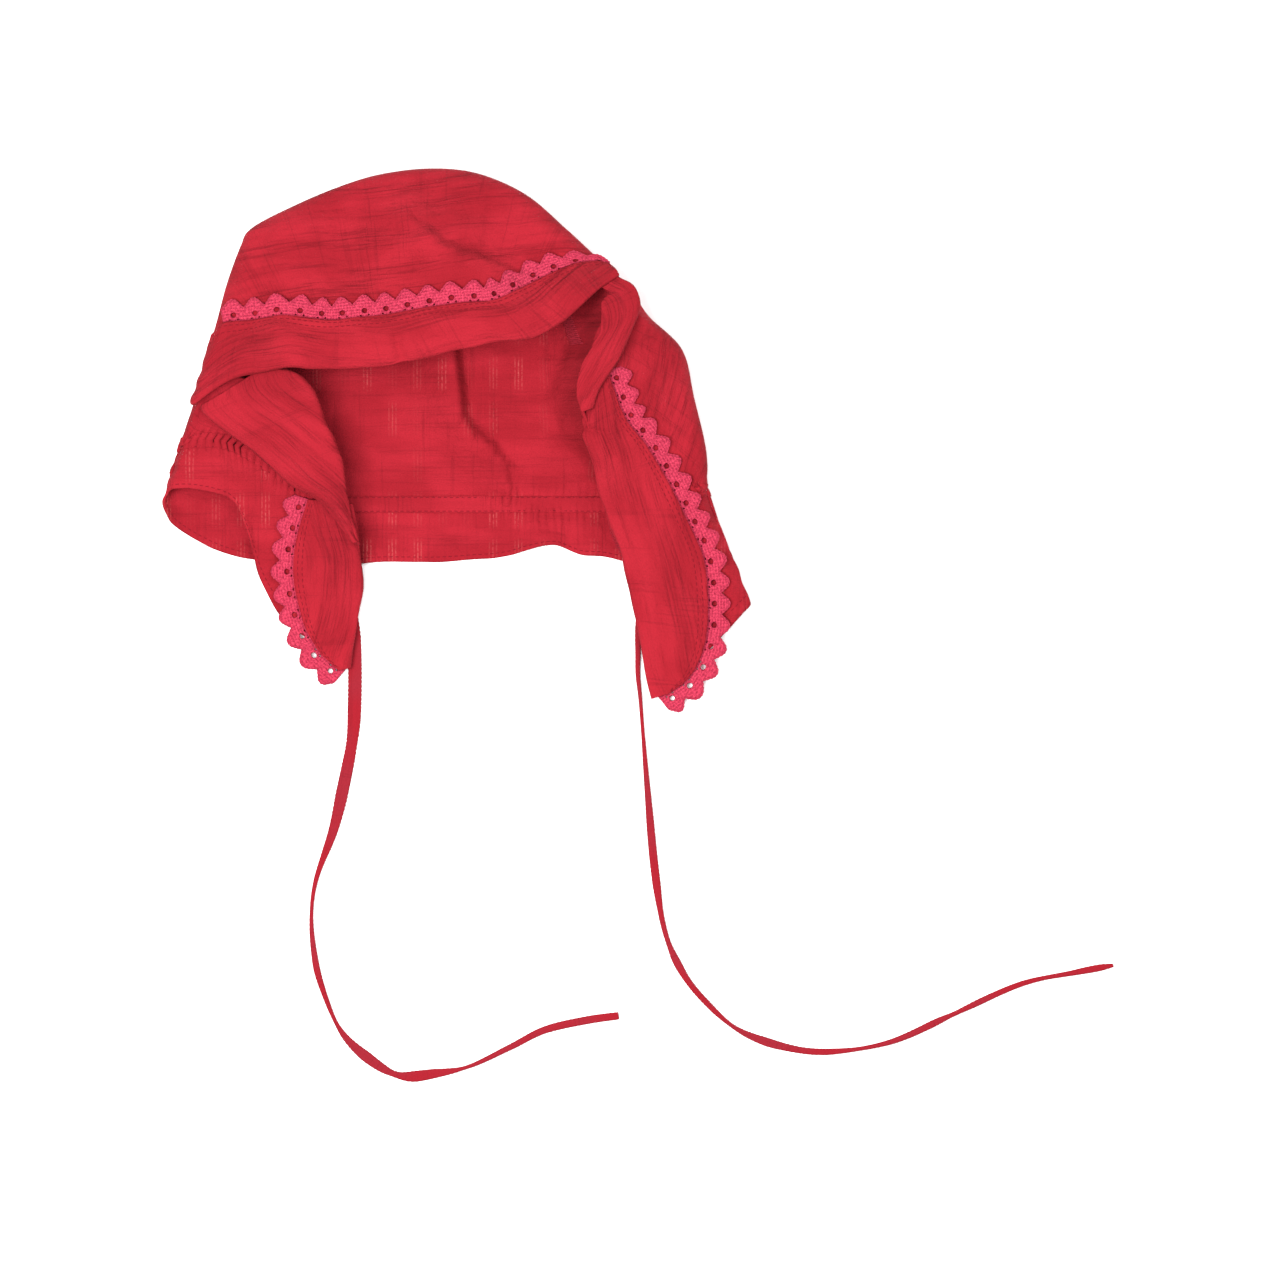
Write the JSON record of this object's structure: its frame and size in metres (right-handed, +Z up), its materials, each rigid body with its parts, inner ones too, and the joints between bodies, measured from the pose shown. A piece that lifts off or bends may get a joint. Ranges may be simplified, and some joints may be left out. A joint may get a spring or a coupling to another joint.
{
  "type": "baby bonnet",
  "caption": "Soft red cotton baby bonnet with a turned-back brim, crochet edging, elastic neck casing, neck frill and two flat ties, lying on its back.",
  "frame": {"origin": "on the surface that the bonnet lies on, below the middle of its outline without the ties", "axes": "+Z up out of the face opening, +Y towards the top of the crown, +X to the right as the crown points away"},
  "size_m": [0.397, 0.3796, 0.0414],
  "materials": {
    "cotton": "crinkled double cotton gauze with slubs",
    "casing": "gathered cotton over elastic",
    "crochet": "crocheted cotton edging",
    "tie": "folded and stitched cotton strip"
  },
  "bodies": {
    "root": {"crown": "cotton", "neck_casing": "casing", "neck_frill": "cotton", "top_band": "cotton", "left_strip": "cotton", "right_strip": "cotton", "left_ear_flap": "cotton", "right_ear_flap": "cotton", "top_lace": "crochet", "left_lace": "crochet", "right_lace": "crochet", "left_tie": "tie", "right_tie": "tie"}
  },
  "joints": []
}
